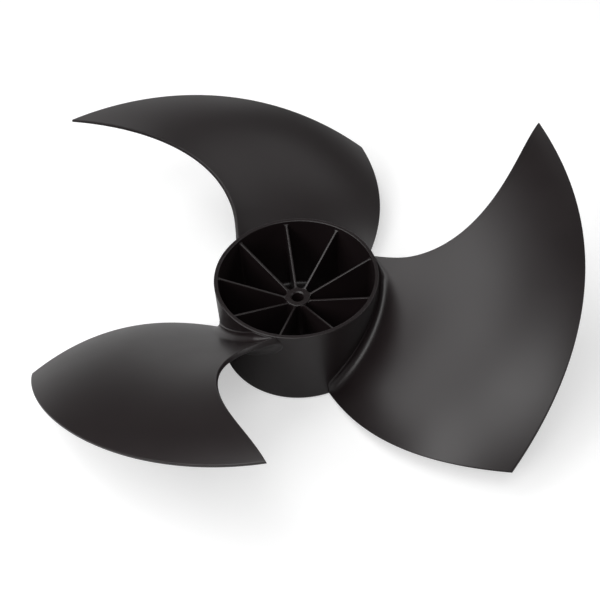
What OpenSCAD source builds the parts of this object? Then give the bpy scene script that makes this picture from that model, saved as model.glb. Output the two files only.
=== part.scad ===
// Heat pump fan: a three-blade axial propeller, moulded in one piece with its ribbed hub.
// The open, ribbed side of the hub faces up towards the motor. The closed face rests on z = 0.
// Seen from above the fan turns counter-clockwise, with the raised, swept edge of each blade leading.
// All lengths are in millimetres and all angles in degrees.

/* [Fan] */
// Diameter across the blade tips
fan_d = 460; // [430:1:500]
// Number of blades, equally spaced
blades = 3; // [2:1:4]

/* [Hub] */
// Outside diameter of the hub at its open rim
hub_d = 137; // [130:1:146]
// Height of the hub from its closed face to its rim
hub_h = 80; // [76:1:86]
// How much narrower the outside radius is at the closed face, so that the mould opens
hub_draft = 0.8; // [0.4:0.1:1.4]
// Thickness of the hub's wall
wall_t = 3.5; // [3:0.1:4.5]
// How much the inside of the wall widens towards the rim
wall_draft = 0.6; // [0.3:0.1:0.9]
// Thickness of the closed face
floor_t = 3.5; // [3:0.1:5]
// Radius of the outside edge at the closed face
edge_r = 3; // [2:0.5:3]
// Radius of the corner between the closed face and the wall, inside
corner_r = 4; // [2:0.5:6]
// Chamfer on both edges of the rim
rim_chamfer = 0.6; // [0.3:0.1:1]

/* [Boss and bore] */
// Outside diameter of the boss at its top
boss_d = 21; // [19:0.5:25]
// How much the boss widens to its foot, on the radius
boss_draft = 1; // [0.5:0.1:2]
// How far the top of the boss lies below the rim
boss_drop = 26; // [20:1:30]
// Chamfer on the outside of the boss's top
boss_chamfer = 0.8; // [0.4:0.1:1.2]
// Diameter of the round part of the bore, which centres the shaft
bore_d = 10; // [9:0.5:11]
// Length of the round part of the bore, with its chamfer
bore_h = 18; // [14:1:22]
// Chamfer at the bore's mouth
bore_chamfer = 1.1; // [0.5:0.1:1.5]
// Diameter of the shaft's end below its shoulder, where the flat turns the fan
drive_d = 8; // [7:0.5:8]
// Distance from the axis to the flat
drive_flat = 3; // [2.8:0.1:3.2]
// Diameter of the recess for the nut and its spanner in the closed face
nut_d = 36; // [30:1:42]
// Depth of the recess
nut_h = 12; // [8:1:14]
// Chamfer at the mouth of the recess
nut_chamfer = 1; // [0.5:0.1:1.5]

/* [Ribs] */
// Number of ribs between the boss and the wall
ribs = 9; // [6:1:12]
// Thickness of a rib
rib_t = 2.2; // [1.8:0.1:3]
// Direction of the first rib
rib_angle = 15; // [0:1:39]
// How far the top of a rib lies below the rim at the wall
rib_wall_drop = 3.5; // [2:0.5:8]
// How far the top of a rib lies below the rim at the boss
rib_boss_drop = 29; // [27:1:34]

/* [Blade leading edge] */
// Direction of the edge at the hub, from the X axis
lead_root = 132.1; // [130:0.1:134]
// Direction that the edge first heads for, which scoops it back
lead_in = 109.9; // [106:0.1:114]
// Direction of the edge's middle handle
lead_mid = 124; // [120:0.1:128]
// Direction that the edge comes from at the tip, which sweeps it forward
lead_out = 137.9; // [134:0.1:142]
// Direction of the edge at the tip
lead_tip = 143.4; // [140:0.1:147]
// How far the edge runs forward in a curve where it meets the hub
lead_flare = 3.5; // [0:0.5:6]
// How far out from the hub that curve starts
flare_w = 29; // [15:1:40]
// Height of the inner handle of the edge above the rim
lead_in_rise = 12.4; // [8:0.1:16]
// Height of the middle handle of the edge above the rim
lead_mid_rise = 34.7; // [30:0.1:40]
// Height of the outer handle of the edge above the rim
lead_out_rise = 66.2; // [60:0.1:70]
// Height of the edge's tip above the rim
lead_tip_rise = 68.9; // [62:0.1:76]

/* [Blade trailing edge] */
// Direction of the edge at the hub
trail_root = 48.9; // [46:0.1:52]
// Direction that the edge first heads for
trail_in = 50.2; // [47:0.1:55]
// Direction that the edge comes from at the tip
trail_out = 61.4; // [57:0.1:65]
// Direction of the edge at the tip
trail_tip = 71.5; // [68:0.1:75]
// Height of the edge at the hub
trail_root_z = 1.2; // [1.2:0.1:6]
// Height of the edge's inner handle
trail_in_z = 13.2; // [10:0.1:20]
// Height of the edge's outer handle
trail_out_z = 27.3; // [22:0.1:32]
// Height of the edge's tip
trail_tip_z = 29.2; // [25:0.1:34]

/* [Blade section] */
// Lift of the section's front handle above its chord at the hub
root_front_lift = -30; // [-36:1:-4]
// Lift of the section's rear handle above its chord at the hub
root_rear_lift = 24; // [16:1:40]
// Lift of the section's front handle above its chord at the tip
tip_front_lift = 10.6; // [6:0.1:18]
// Lift of the section's rear handle above its chord at the tip
tip_rear_lift = 28.4; // [18:0.1:34]
// Thickness of the blade at the hub
root_t = 5.2; // [4:0.1:6]
// Thickness of the blade at the tip
tip_t = 2.6; // [2.2:0.1:3.2]
// How fast the root's thickness thins out along the span, as a power
thin_power = 3; // [1:0.5:5]
// Radius of the fillet between the blade and the hub
fillet_r = 4.5; // [3:0.5:6]

/* [Hidden] */
hub_r = hub_d / 2;
foot_r = hub_r - hub_draft;
tip_r = fan_d / 2;
span = tip_r - hub_r;
rim_in_r = hub_r - wall_t;
floor_in_r = rim_in_r - wall_draft;
boss_r = boss_d / 2;
boss_z = hub_h - boss_drop;
bore_r = bore_d / 2;
shoulder_z = boss_z - bore_h;
drive_r = drive_d / 2;
nut_r = nut_d / 2;
cap_z = nut_h + floor_t;
quarter = 90;
arc_steps = 5;
round_fn = 96;
eps = 0.01;
// depth of the blades' and ribs' ends in the hub's wall
bury = wall_t * 0.7;
// stations along a section, and along the span between the fillet and the tip
section_steps = 24;
span_steps = 16;
fillet_steps = 4;
// share of the section over which the fillet fades out at each edge
fade = 0.07;
nose_share = 0.3;
step_s = 0.001;

// a cubic Bezier value with its four controls
function bezier(a, b, c, d, x) =
    a * pow(1 - x, 3) + 3 * b * x * pow(1 - x, 2) + 3 * c * x * x * (1 - x) + d * pow(x, 3);
function mix(a, b, x) = a + (b - a) * x;
function rad(a) = a * PI / 180;
function deg(a) = a * 180 / PI;
function clamp01(x) = max(0, min(1, x));
function smooth(x) = let (c = clamp01(x)) c * c * (3 - 2 * c);

// points of a quarter arc about a centre, from one direction to another
function arc(cx, cy, r, from, to) =
    [for (i = [0:arc_steps]) let (a = mix(from, to, i / arc_steps)) [cx + r * cos(a), cy + r * sin(a)]];

// directions and heights of the two edges at a share s of the span
function flare_a(s) = deg(lead_flare / hub_r) * pow(clamp01(1 - s * span / flare_w), 2);
function lead_a(s) =
    mix(bezier(lead_root, lead_in, lead_mid, lead_out, s),
        bezier(lead_in, lead_mid, lead_out, lead_tip, s), s)
    + flare_a(s);
function lead_z(s) =
    hub_h - root_t / 2 * (1 - s)
    + mix(bezier(0, lead_in_rise, lead_mid_rise, lead_out_rise, s),
          bezier(lead_in_rise, lead_mid_rise, lead_out_rise, lead_tip_rise, s), s);
function trail_a(s) = bezier(trail_root, trail_in, trail_out, trail_tip, s);
function trail_z(s) = bezier(trail_root_z, trail_in_z, trail_out_z, trail_tip_z, s);

// the blade's middle surface: u runs from the leading to the trailing edge, s from the hub to the tip
function mid_a(u, s) = mix(lead_a(s), trail_a(s), u);
function mid_z(u, s) =
    mix(lead_z(s), trail_z(s), u)
    + bezier(0, mix(root_front_lift, tip_front_lift, s), mix(root_rear_lift, tip_rear_lift, s), 0, u);

// the middle surface's upward normal, as its parts along the radius, around the axis and up
function normal(u, s, r) =
    let (
        au = r * rad(mid_a(u + step_s, s) - mid_a(u - step_s, s)) / (2 * step_s),
        zu = (mid_z(u + step_s, s) - mid_z(u - step_s, s)) / (2 * step_s),
        as = r * rad(mid_a(u, s + step_s) - mid_a(u, s)) / (step_s * span),
        zs = (mid_z(u, s + step_s) - mid_z(u, s)) / (step_s * span)
    )
    [au * zs - zu * as, zu, -au];

// the extra half thickness of the hub's fillet, which fades out at both edges of the blade
function fillet_h(u, r) =
    let (d = clamp01((r - hub_r) / fillet_r))
    fillet_r * (1 - sqrt(1 - pow(1 - d, 2))) * smooth(u / fade) * smooth((1 - u) / fade);

// a round nose within half a thickness of an edge that is d away
function nose(d, t) =
    let (x = clamp01(d / (t / 2)))
    mix(nose_share, 1, sqrt(1 - pow(1 - x, 2)));

function half_t(u, s, r) =
    let (t = mix(tip_t, root_t, pow(1 - s, thin_power)), edge = min(u, 1 - u) * r * rad(lead_a(s) - trail_a(s)))
    t / 2 * nose(edge, t) * nose(tip_r - r, t) + fillet_h(u, r);

// a point on the upper (side 1) or lower (side -1) skin, offset squarely from the middle surface
function skin(u, r, side) =
    let (
        s = clamp01((r - hub_r) / span),
        n = normal(u, s, r),
        k = side * half_t(u, s, r) * norm(n) / (n[1] * n[1] + n[2] * n[2]),
        a = mid_a(u, s) + deg(k * n[1] / r)
    )
    [r * cos(a), r * sin(a), mid_z(u, s) + k * n[2]];

// stations crowd towards both edges of the section, and into the fillet and the tip's rounding
section_us = [for (j = [0:section_steps]) (1 - cos(180 * j / section_steps)) / 2];
section_rs = concat(
    [hub_r - bury],
    [for (i = [0:fillet_steps]) hub_r + fillet_r * (1 - cos(quarter * i / fillet_steps))],
    [for (i = [1:span_steps]) mix(hub_r + fillet_r, tip_r - tip_t / 2, i / span_steps)],
    [tip_r - tip_t / 6, tip_r]
);

// one closed loop of skin points at a radius, over the top and back underneath
function loop(r) = concat(
    [for (j = [0:section_steps]) skin(section_us[j], r, 1)],
    [for (j = [section_steps:-1:0]) skin(section_us[j], r, -1)]
);

module blade() {
    per = 2 * (section_steps + 1);
    last = len(section_rs) - 1;
    points = [for (r = section_rs) each loop(r)];
    sides = [
        for (i = [0:last - 1], j = [0:per - 1])
            let (a = i * per + j, b = i * per + (j + 1) % per)
            each [[a, a + per, b], [b, a + per, b + per]]
    ];
    inner = [
        for (j = [0:section_steps - 1])
            each [[j, j + 1, per - 1 - j], [j + 1, per - 2 - j, per - 1 - j]]
    ];
    outer = [for (f = inner) [for (v = [f[0], f[2], f[1]]) v + last * per]];
    polyhedron(points, concat(sides, inner, outer), convexity = 6);
}

// the cup with its closed face, and the step inside it over the nut's recess
module cup() {
    rotate_extrude($fn = round_fn)
        polygon(concat(
            [[nut_r + nut_chamfer, 0]],
            arc(foot_r - edge_r, edge_r, edge_r, -quarter, 0),
            [
                [hub_r, hub_h - rim_chamfer],
                [hub_r - rim_chamfer, hub_h],
                [rim_in_r + rim_chamfer, hub_h],
                [rim_in_r, hub_h - rim_chamfer]
            ],
            arc(floor_in_r - corner_r, floor_t + corner_r, corner_r, 0, -quarter),
            [
                [nut_r + floor_t, floor_t],
                [nut_r + floor_t - wall_draft, cap_z],
                [0, cap_z],
                [0, nut_h],
                [nut_r, nut_h],
                [nut_r, nut_chamfer]
            ]
        ));
}

module boss() {
    rotate_extrude($fn = round_fn)
        polygon([
            [0, nut_h + eps],
            [boss_r + boss_draft, nut_h + eps],
            [boss_r, boss_z - boss_chamfer],
            [boss_r - boss_chamfer, boss_z],
            [0, boss_z]
        ]);
}

module rib() {
    rotate([quarter, 0, 0])
        linear_extrude(height = rib_t, center = true)
            polygon([
                [bore_r + eps, floor_t / 2],
                [floor_in_r + bury / 2, floor_t / 2],
                [floor_in_r + bury / 2, hub_h - rib_wall_drop],
                [bore_r + eps, hub_h - rib_boss_drop]
            ]);
}

// the round bore with its mouth, the drive end with its flat, and the way out to the nut's recess
module bore() {
    translate([0, 0, shoulder_z])
        cylinder(h = bore_h + eps, r = bore_r, $fn = round_fn);
    translate([0, 0, boss_z - bore_chamfer])
        cylinder(h = bore_chamfer + eps, r1 = bore_r, r2 = bore_r + bore_chamfer + eps, $fn = round_fn);
    difference() {
        translate([0, 0, nut_h - eps])
            cylinder(h = shoulder_z - nut_h + 2 * eps, r = drive_r, $fn = round_fn);
        translate([drive_flat, -drive_d, 0])
            cube([drive_d, 2 * drive_d, shoulder_z + bore_h]);
    }
    cylinder(h = nut_h, r = nut_r, $fn = round_fn);
}

module fan() {
    color([0.13, 0.13, 0.13])
        difference() {
            union() {
                cup();
                boss();
                for (i = [0:ribs - 1])
                    rotate([0, 0, rib_angle + i * 360 / ribs])
                        rib();
                for (i = [0:blades - 1])
                    rotate([0, 0, i * 360 / blades])
                        blade();
            }
            bore();
        }
}

fan();
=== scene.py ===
"""Heat pump fan: blades, hub, ribs and boss in one moulding of black, glass-filled plastic.

All shapes are worked out in millimetres, in the part's own frame, and turned to metres when a mesh is made.
Angles are in degrees from +X, counter-clockwise as seen from above.
"""

import bpy
import numpy as np
from mathutils import Matrix


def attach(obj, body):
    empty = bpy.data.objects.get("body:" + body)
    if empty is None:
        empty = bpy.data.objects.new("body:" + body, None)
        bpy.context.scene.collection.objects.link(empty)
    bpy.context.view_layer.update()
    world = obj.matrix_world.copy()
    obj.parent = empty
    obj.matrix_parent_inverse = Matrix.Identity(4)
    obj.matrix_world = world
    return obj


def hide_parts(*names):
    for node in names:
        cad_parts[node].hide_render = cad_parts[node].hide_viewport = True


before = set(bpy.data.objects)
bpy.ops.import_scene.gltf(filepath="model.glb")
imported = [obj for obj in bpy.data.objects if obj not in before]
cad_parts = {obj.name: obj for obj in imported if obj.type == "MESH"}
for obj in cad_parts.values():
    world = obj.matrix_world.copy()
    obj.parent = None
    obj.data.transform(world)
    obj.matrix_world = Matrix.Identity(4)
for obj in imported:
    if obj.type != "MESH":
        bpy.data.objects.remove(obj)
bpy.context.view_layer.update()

# Hub
HUB_R = 68.5
HUB_H = 80.0
HUB_DRAFT = 0.8
WALL_T = 3.5
WALL_DRAFT = 0.6
FLOOR_T = 3.5
EDGE_R = 3.0
CORNER_R = 4.0
RIM_ROUND = 0.8

# Boss, bore and the recess for the nut
BOSS_R = 10.5
BOSS_DRAFT = 1.0
BOSS_Z = 54.0
BORE_R = 5.0
BORE_CHAMFER = 1.1
SHOULDER_Z = 36.0
DRIVE_R = 4.0
DRIVE_FLAT = 3.0
NUT_R = 18.0
NUT_H = 12.0
NUT_CHAMFER = 1.0

# Ribs
RIBS = 9
RIB_T = 2.2
RIB_ANGLE = 15.0
RIB_WALL_Z = 76.5
RIB_BOSS_Z = 51.0
RIB_FILLET = 1.6

# Blades: each edge has a direction and a height at the controls of a Bezier curve from the hub to the tip
BLADES = 3
TIP_R = 229.92
LEAD_ANGLES = (132.1, 109.9, 124.0, 137.9, 143.4)
LEAD_RISES = (0.0, 12.4, 34.7, 66.2, 68.6)
LEAD_FLARE = 3.5
FLARE_W = 29.0
TRAIL_ANGLES = (48.9, 50.2, 61.4, 71.5)
TRAIL_HEIGHTS = (1.6, 13.2, 27.3, 29.2)
ROOT_LIFTS = (3.0, 13.0)
TIP_LIFTS = (10.6, 28.4)
ROOT_T = 5.2
TIP_T = 2.6
THIN_POWER = 3
FILLET_R = 8.0
FILLET_FADE = 0.07
FILLET_WRAP = 9.0
EDGE_ROUND = 0.7


# Curves and surfaces


def mix(a, b, x):
    return a + (b - a) * x


def smooth(x):
    """The S-curve 3x^2 - 2x^3 between 0 and 1."""
    x = np.clip(x, 0, 1)
    return x * x * (3 - 2 * x)


def bezier(controls, x):
    """The Bezier curve of any degree: neighbours are mixed by x until one value is left."""
    row = [np.asarray(c, float) for c in controls]
    while len(row) > 1:
        row = [mix(a, b, x) for a, b in zip(row, row[1:])]
    return row[0]


def lead_angle(s):
    """Leading edge's direction at share s of the span, with a short curve forward where it meets the hub."""
    near = np.clip(1 - s * (TIP_R - HUB_R) / FLARE_W, 0, 1)
    return bezier(LEAD_ANGLES, s) + np.degrees(LEAD_FLARE / HUB_R) * near**2


def middle_angle(u, s):
    """Direction of the middle surface: straight in u from the leading edge (0) to the trailing edge (1)."""
    return mix(lead_angle(s), bezier(TRAIL_ANGLES, s), u)


def middle_height(u, s):
    """Height of the middle surface: the straight chord, plus a camber curve whose handles change from hub to tip."""
    lead = HUB_H - ROOT_T / 2 * (1 - s) + bezier(LEAD_RISES, s)
    chord = mix(lead, bezier(TRAIL_HEIGHTS, s), u)
    front, rear = mix(ROOT_LIFTS[0], TIP_LIFTS[0], s), mix(ROOT_LIFTS[1], TIP_LIFTS[1], s)
    return chord + bezier((0, front, rear, 0), u)


def middle_normal(u, s, r):
    """Upward normal as its parts along the radius, around the axis and up, from small steps in u and s."""
    h = 0.001
    span = TIP_R - HUB_R
    around_u = r * np.radians(middle_angle(u + h, s) - middle_angle(u - h, s)) / (2 * h)
    up_u = (middle_height(u + h, s) - middle_height(u - h, s)) / (2 * h)
    around_s = r * np.radians(middle_angle(u, s + h) - middle_angle(u, s)) / (h * span)
    up_s = (middle_height(u, s + h) - middle_height(u, s)) / (h * span)
    return around_u * up_s - up_u * around_s, up_u, -around_u


def fillet_radius(u, side):
    """Fillet radius along the root: full size, less where the rim above or the closed face below leaves no room."""
    height = middle_height(u, 0.0)
    room = HUB_H - RIM_ROUND - height if side > 0 else height - EDGE_R
    return np.clip(room - 0.65 * ROOT_T, 0.01, FILLET_R)


def half_thickness(u, s, r, chord, side):
    """Half the blade's thickness: it thins from hub to tip, rounds off at each edge and swells into the hub."""
    half = mix(TIP_T, ROOT_T, (1 - s) ** THIN_POWER) / 2
    to_edge = np.clip(np.minimum(u, 1 - u) * chord / EDGE_ROUND, 0, 1)
    to_tip = np.clip((TIP_R - r) / EDGE_ROUND, 0, 1)
    near = np.minimum(to_edge, to_tip)
    half = half - EDGE_ROUND * (1 - np.sqrt(1 - (1 - near) ** 2))
    radius = fillet_radius(u, side)
    d = np.clip((r - HUB_R) / radius, 0, 1)
    fillet = radius * (1 - np.sqrt(1 - (1 - d) ** 2))
    wrap = np.clip(u * chord / FILLET_WRAP, 0, 1)
    return half + fillet * np.sqrt(1 - (1 - wrap) ** 2) * smooth((1 - u) / FILLET_FADE)


def blade_skin(u, r, side):
    """A point of the upper (+1) or lower (-1) skin: half a thickness off the middle surface, at the same radius."""
    s = np.clip((r - HUB_R) / (TIP_R - HUB_R), 0, 1)
    chord = r * np.radians(lead_angle(s) - bezier(TRAIL_ANGLES, s))
    n_out, n_around, n_up = middle_normal(u, s, r)
    length = np.sqrt(n_out**2 + n_around**2 + n_up**2)
    k = side * half_thickness(u, s, r, chord, side) * length / (n_around**2 + n_up**2)
    a = np.radians(middle_angle(u, s)) + k * n_around / r
    return np.stack([r * np.cos(a), r * np.sin(a), middle_height(u, s) + k * n_up], -1)


def turn_about_axis(points, degrees):
    a = np.radians(degrees)
    spin = np.array([[np.cos(a), -np.sin(a), 0], [np.sin(a), np.cos(a), 0], [0, 0, 1]])
    return points @ spin.T


def tube_faces(rows, around, close=False):
    """Quads of a grid that is closed in its second direction, and in its first as well where close is set."""
    i, j = np.meshgrid(np.arange(rows if close else rows - 1), np.arange(around), indexing="ij")
    below, above = (i % rows) * around, ((i + 1) % rows) * around
    nxt = (j + 1) % around
    return np.stack([below + j, above + j, above + nxt, below + nxt], -1).reshape(-1, 4)


def cap_faces(first, around):
    """Quads that close a loop of an even number of points by joining its two halves, like a ladder's rungs."""
    j = np.arange(around // 2 - 1)
    return first + np.stack([j, j + 1, around - 2 - j, around - 1 - j], -1)


def blade(steps_u=64, steps_r=64, round_steps=5):
    """One blade as a closed loop of skin points at each radius, over the top and back underneath.

    Stations crowd by the cosine rule into the rounded edges, the hub's fillet and the tip.
    """
    quarter = np.linspace(0, np.pi / 2, round_steps + 1)
    inner = HUB_R + FILLET_R * (1 - np.cos(np.linspace(0, np.pi / 2, 9)))
    middle = np.linspace(HUB_R + FILLET_R, TIP_R - 1.4 * EDGE_ROUND, steps_r)[1:]
    outer = TIP_R - EDGE_ROUND * (1 - np.cos(quarter[::-1]))
    r = np.concatenate([[HUB_R - 0.7 * WALL_T], inner, middle, outer])
    s = np.clip((r - HUB_R) / (TIP_R - HUB_R), 0, 1)
    chord = (r * np.radians(lead_angle(s) - bezier(TRAIL_ANGLES, s)))[:, None]
    edge = EDGE_ROUND * (1 - np.cos(quarter)) / chord
    start = 1.4 * EDGE_ROUND / chord
    run = (1 - np.cos(np.linspace(0.12, np.pi - 0.12, steps_u))) / 2
    run = (run - run[0]) / (run[-1] - run[0])
    u = np.concatenate([edge, mix(start, 1 - start, run), 1 - edge[:, ::-1]], 1)
    top = blade_skin(u, r[:, None], 1)
    under = blade_skin(u, r[:, None], -1)[:, ::-1]
    loops = np.concatenate([top, under], 1)
    rows, around = loops.shape[:2]
    faces = [
        tube_faces(rows, around),
        cap_faces(0, around),
        cap_faces((rows - 1) * around, around)[:, ::-1],
    ]
    return loops.reshape(-1, 3), np.concatenate(faces)


def rounded_profile(corners, steps=7, lead_in=0.25):
    """A closed outline whose corners (x, y, radius) are arcs, each with a point just before and just after it.

    The arc starts one tangent length, radius times the tangent of half the turn, before the corner.
    """
    c = np.asarray(corners, float)
    p, radius = c[:, :2], c[:, 2:]
    before, after = p - np.roll(p, 1, 0), np.roll(p, -1, 0) - p
    before = before / np.linalg.norm(before, axis=1, keepdims=True)
    after = after / np.linalg.norm(after, axis=1, keepdims=True)
    turn = np.arctan2(before[:, 0] * after[:, 1] - before[:, 1] * after[:, 0], (before * after).sum(1))[:, None]
    start = p - before * radius * np.tan(np.abs(turn) / 2)
    end = p + after * radius * np.tan(np.abs(turn) / 2)
    to_centre = np.stack([-before[:, 1], before[:, 0]], 1) * np.sign(turn)
    centre = start + to_centre * radius
    w = turn * np.linspace(0, 1, steps)
    arm = start - centre
    x = centre[:, :1] + arm[:, :1] * np.cos(w) - arm[:, 1:] * np.sin(w)
    y = centre[:, 1:] + arm[:, :1] * np.sin(w) + arm[:, 1:] * np.cos(w)
    arc = np.stack([x, y], -1)
    lead = (start - before * lead_in)[:, None]
    tail = (end + after * lead_in)[:, None]
    return np.concatenate([lead, arc, tail], 1).reshape(-1, 2)


def hub(around=288):
    """Cup, boss, bore and recess as one outline turned about the axis.

    Where the shaft's drive end sits, the radius is the smaller of the round wall and the flat: flat / cos(angle).
    """
    foot = HUB_R - HUB_DRAFT
    rim_in = HUB_R - WALL_T
    floor_in = rim_in - WALL_DRAFT
    cap_z = NUT_H + FLOOR_T
    outline = rounded_profile(
        [
            (NUT_R + NUT_CHAMFER, 0, 0.3),
            (foot, 0, EDGE_R),
            (HUB_R, HUB_H, RIM_ROUND),
            (rim_in, HUB_H, RIM_ROUND),
            (floor_in, FLOOR_T, CORNER_R),
            (NUT_R + FLOOR_T, FLOOR_T, 1.5),
            (NUT_R + FLOOR_T - WALL_DRAFT, cap_z, 1.2),
            (BOSS_R + BOSS_DRAFT, cap_z, 1.5),
            (BOSS_R, BOSS_Z, 0.8),
            (BORE_R + BORE_CHAMFER, BOSS_Z, 0.2),
            (BORE_R, BOSS_Z - BORE_CHAMFER, 0.2),
            (BORE_R, SHOULDER_Z, 0.1),
            (DRIVE_R, SHOULDER_Z, 0.1),
            (DRIVE_R, NUT_H, 0.1),
            (NUT_R, NUT_H, 0.8),
            (NUT_R, NUT_CHAMFER, 0.2),
        ],
        lead_in=0.12,
    )
    a = np.linspace(0, 2 * np.pi, around, endpoint=False)
    radius, height = outline[:, :1], outline[:, 1:]
    facing = np.cos(a)
    flat = np.where(facing > 0.1, DRIVE_FLAT / np.maximum(facing, 0.1), np.inf)
    keyed = (radius < DRIVE_R + 0.2) & (height < SHOULDER_Z + 0.05)
    r = np.where(keyed, np.minimum(radius, flat), radius)
    points = np.stack([r * np.cos(a), r * np.sin(a), height + 0 * a], -1)
    return points.reshape(-1, 3), tube_faces(len(outline), around, close=True)[:, ::-1]


def rib(steps_x=40, steps_z=18):
    """One rib: at each radius a loop up one side, over the rounded top and down the other side.

    Half its thickness is a drafted wall plus quarter-round fillets into the hub's wall, the boss and the floor.
    """
    x0, x1 = BOSS_R - 1.5, HUB_R - WALL_T + 1.0
    x = x0 + (x1 - x0) * (1 - np.cos(np.linspace(0, np.pi, steps_x))) / 2
    top = mix(RIB_BOSS_Z, RIB_WALL_Z, (x - BORE_R) / (HUB_R - WALL_T - WALL_DRAFT - BORE_R))[:, None]
    foot = FLOOR_T / 2
    edge = 0.6
    quarter = np.linspace(0, np.pi / 2, 6)
    rise = (1 - np.cos(np.linspace(0, np.pi, steps_z))) / 2
    side_z = foot + (top - edge - foot) * rise
    round_z = top - edge + edge * np.sin(quarter[1:])
    z = np.concatenate([side_z, round_z], 1)
    drop = np.concatenate([np.zeros(steps_z), edge * (1 - np.cos(quarter[1:]))])
    wall_x = HUB_R - WALL_T - WALL_DRAFT * (1 - z / HUB_H)
    boss_x = BOSS_R + BOSS_DRAFT * np.clip((BOSS_Z - z) / (BOSS_Z - NUT_H), 0, 1)

    def swell(gap):
        d = np.clip(gap / RIB_FILLET, 0, 1)
        return RIB_FILLET * (1 - np.sqrt(1 - (1 - d) ** 2))

    half = RIB_T / 2 * mix(1.12, 0.9, z / HUB_H)
    half = half + swell(wall_x - x[:, None]) + swell(x[:, None] - boss_x) + swell(z - FLOOR_T) - drop
    left = np.stack([x[:, None] + 0 * z, half, z], -1)
    right = np.stack([x[:, None] + 0 * z, -half, z], -1)[:, ::-1]
    loops = np.concatenate([left, right], 1)
    rows, around = loops.shape[:2]
    faces = [
        tube_faces(rows, around)[:, ::-1],
        cap_faces(0, around)[:, ::-1],
        cap_faces((rows - 1) * around, around),
    ]
    return loops.reshape(-1, 3), np.concatenate(faces)


def moulding(name, parts):
    """Joins (points, quads) parts into one smooth mesh, in metres."""
    offsets = np.cumsum([0] + [len(p) for p, _ in parts[:-1]])
    points = np.concatenate([p for p, _ in parts]) * 0.001
    quads = np.concatenate([f + o for (_, f), o in zip(parts, offsets)])
    mesh = bpy.data.meshes.new(name)
    mesh.vertices.add(len(points))
    mesh.vertices.foreach_set("co", points.astype(np.float32).ravel())
    mesh.loops.add(quads.size)
    mesh.loops.foreach_set("vertex_index", quads.astype(np.int32).ravel())
    mesh.polygons.add(len(quads))
    mesh.polygons.foreach_set("loop_start", np.arange(len(quads), dtype=np.int32) * 4)
    mesh.polygons.foreach_set("use_smooth", np.ones(len(quads), bool))
    mesh.update(calc_edges=True)
    mesh.validate()
    piece = bpy.data.objects.new(name, mesh)
    bpy.context.scene.collection.objects.link(piece)
    return piece


# Materials


def srgb(code, alpha=1.0):
    """An sRGB hex colour as linear numbers."""
    v = np.array([int(code[i : i + 2], 16) for i in (1, 3, 5)]) / 255
    v = np.where(v <= 0.04045, v / 12.92, ((v + 0.055) / 1.055) ** 2.4)
    return (*v.tolist(), alpha)


def add_node(tree, kind, links=(), **settings):
    """Adds a node, sets its attributes or input values by name, and links (output, input name) pairs into it."""
    node = tree.nodes.new(kind)
    for key, value in settings.items():
        if key in node.inputs and not hasattr(node, key):
            node.inputs[key].default_value = value
        else:
            setattr(node, key, value)
    for output, name in links:
        tree.links.new(output, node.inputs[name])
    return node


def new_material(name):
    material = bpy.data.materials.new(name)
    material.use_nodes = True
    material.node_tree.nodes.clear()
    return material, material.node_tree


def moulded_glass_filled_polypropylene():
    """Black polypropylene with short glass fibres, moulded in a fine spark-eroded tool.

    The tool gives it a satin skin with an even fine grain. Slight sink and flow leave broad, faint unevenness in the
    sheen. The grain is 0.15 mm on the real part and is drawn 0.9 mm wide so that it shows.
    """
    material, tree = new_material("moulded_glass_filled_polypropylene")
    place = add_node(tree, "ShaderNodeTexCoord").outputs["Object"]
    flow = add_node(tree, "ShaderNodeTexNoise", [(place, "Vector")])
    flow.inputs["Scale"].default_value = 1 / 0.045
    flow.inputs["Detail"].default_value = 3.0
    grain = add_node(tree, "ShaderNodeTexNoise", [(place, "Vector")])
    grain.inputs["Scale"].default_value = 1 / 0.0009
    grain.inputs["Detail"].default_value = 2.0
    tone = add_node(tree, "ShaderNodeMix", [(flow.outputs["Fac"], "Factor")], data_type="RGBA")
    tone.inputs["A"].default_value = srgb("#161011")
    tone.inputs["B"].default_value = srgb("#1c1516")
    rough = add_node(tree, "ShaderNodeMapRange", [(flow.outputs["Fac"], "Value")])
    rough.inputs["To Min"].default_value = 0.34
    rough.inputs["To Max"].default_value = 0.42
    fine = add_node(tree, "ShaderNodeBump", [(grain.outputs["Fac"], "Height")])
    fine.inputs["Strength"].default_value = 0.12
    fine.inputs["Distance"].default_value = 0.0001
    shader = add_node(
        tree,
        "ShaderNodeBsdfPrincipled",
        [(tone.outputs["Result"], "Base Color"), (rough.outputs["Result"], "Roughness"), (fine.outputs["Normal"], "Normal")],
    )
    shader.inputs["IOR"].default_value = 1.49
    add_node(tree, "ShaderNodeOutputMaterial", [(shader.outputs["BSDF"], "Surface")])
    return material


def studio_paper():
    """Matte white paper. An even glow for camera and transmission rays makes it white to the camera, and it keeps
    the object's shadow.
    """
    material, tree = new_material("studio_paper")
    path = add_node(tree, "ShaderNodeLightPath")
    seen = add_node(
        tree,
        "ShaderNodeMath",
        operation="MAXIMUM",
    )
    tree.links.new(path.outputs["Is Camera Ray"], seen.inputs[0])
    tree.links.new(path.outputs["Is Transmission Ray"], seen.inputs[1])
    paper = add_node(tree, "ShaderNodeBsdfDiffuse", Color=srgb("#d8d8d8"))
    glow = add_node(tree, "ShaderNodeEmission", [(seen.outputs[0], "Strength")], Color=(0.45, 0.45, 0.45, 1))
    both = add_node(tree, "ShaderNodeAddShader")
    tree.links.new(paper.outputs[0], both.inputs[0])
    tree.links.new(glow.outputs[0], both.inputs[1])
    add_node(tree, "ShaderNodeOutputMaterial", [(both.outputs[0], "Surface")])
    return material


# The fan

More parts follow.
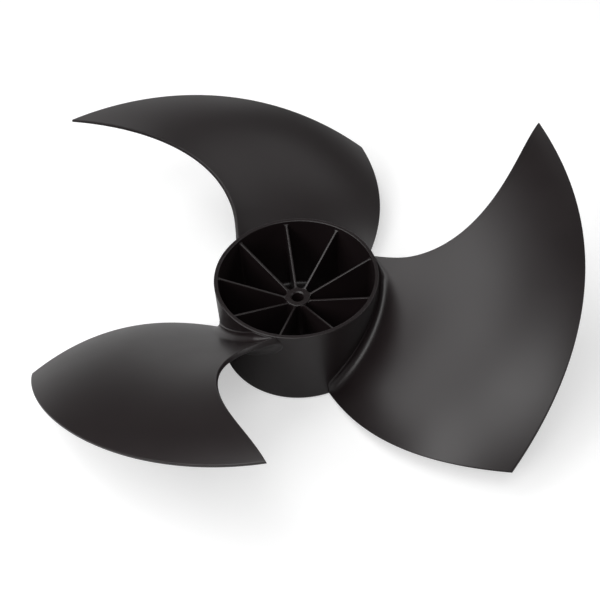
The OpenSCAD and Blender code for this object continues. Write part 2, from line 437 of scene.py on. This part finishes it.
blade_points, blade_quads = blade()
rib_points, rib_quads = rib()
parts = [hub()]
parts += [(turn_about_axis(blade_points, k * 360 / BLADES), blade_quads) for k in range(BLADES)]
parts += [(turn_about_axis(rib_points, RIB_ANGLE + k * 360 / RIBS), rib_quads) for k in range(RIBS)]
fan = moulding("fan_moulding", parts)
fan.data.materials.append(moulded_glass_filled_polypropylene())
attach(fan, "root")
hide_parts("fan")


# Floor, light and camera

floor_mesh = bpy.data.meshes.new("floor")
floor_mesh.from_pydata([(-6, -6, -0.0002), (6, -6, -0.0002), (6, 6, -0.0002), (-6, 6, -0.0002)], [], [(0, 1, 2, 3)])
floor = bpy.data.objects.new("floor", floor_mesh)
bpy.context.scene.collection.objects.link(floor)
floor.data.materials.append(studio_paper())


def softbox(name, azimuth, elevation, distance, width, height, power):
    """A rectangular lamp on a sphere round the hub, facing it. Azimuth 0 is +X."""
    a, e = np.radians(azimuth), np.radians(elevation)
    back = np.array([np.cos(e) * np.cos(a), np.cos(e) * np.sin(a), np.sin(e)])
    lamp = bpy.data.lights.new(name, "AREA")
    lamp.shape = "RECTANGLE"
    lamp.size, lamp.size_y = width, height
    lamp.energy = power
    side = np.cross([0, 0, 1], back)
    side = side / np.linalg.norm(side)
    up = np.cross(back, side)
    obj = bpy.data.objects.new(name, lamp)
    obj.matrix_world = Matrix(
        [[side[i], up[i], back[i], back[i] * distance + (0, 0, 0.08)[i]] for i in range(3)] + [[0, 0, 0, 1]]
    )
    bpy.context.scene.collection.objects.link(obj)
    return obj


# Directions and powers were fitted to the light and dark areas of the blades in the photo
for name, azimuth, elevation, power in (
    ("front_left_softbox", 225, 38, 11.6),
    ("front_top_softbox", 270, 64, 10.3),
    ("back_top_softbox", 150, 64, 8.0),
    ("right_low_softbox", 0, 12, 6.9),
    ("left_softbox", 180, 38, 6.7),
    ("left_top_softbox", 210, 64, 3.1),
    ("back_low_softbox", 90, 12, 2.1),
    ("back_right_softbox", 45, 38, 2.5),
):
    softbox(name, azimuth, elevation, 1.8, 0.9, 0.9, power)

world = bpy.data.worlds.new("studio")
bpy.context.scene.world = world
world.use_nodes = True
sky = world.node_tree
sky.nodes.clear()
path = add_node(sky, "ShaderNodeLightPath")
white = add_node(sky, "ShaderNodeMapRange", [(path.outputs["Is Camera Ray"], "Value")])
white.inputs["To Min"].default_value = 0.08
white.inputs["To Max"].default_value = 1.0
back = add_node(sky, "ShaderNodeBackground", [(white.outputs["Result"], "Strength")], Color=(1, 1, 1, 1))
add_node(sky, "ShaderNodeOutputWorld", [(back.outputs[0], "Surface")])

# The camera was fitted to the photo's outline: 47.7 degrees above the horizon, rolled by 3.9 degrees
ELEVATION = 0.83211
ROLL = -0.06796
FOCAL_PX = 1070.88
OFFSET = np.array([-0.05169, 0.30585, 12.93013])
fwd = np.array([0, np.cos(ELEVATION), -np.sin(ELEVATION)])
lift = np.array([0, np.sin(ELEVATION), np.cos(ELEVATION)])
side = np.array([1.0, 0, 0])
right = np.cos(ROLL) * side + np.sin(ROLL) * lift
up = -np.sin(ROLL) * side + np.cos(ROLL) * lift
centre = -(OFFSET @ np.stack([right, up, fwd])) * HUB_R * 0.001 + [0, 0, HUB_H * 0.001]
lens = bpy.data.cameras.new("camera")
lens.sensor_width = 36.0
lens.lens = 36.0 * FOCAL_PX / 600
lens.shift_x = -0.5 / 600
lens.shift_y = 0.5 / 600
lens.clip_start = 0.05
lens.clip_end = 50
camera = bpy.data.objects.new("camera", lens)
camera.matrix_world = Matrix([[right[i], up[i], -fwd[i], centre[i]] for i in range(3)] + [[0, 0, 0, 1]])
bpy.context.scene.collection.objects.link(camera)
bpy.context.scene.camera = camera

bpy.context.scene.view_settings.view_transform = "Standard"
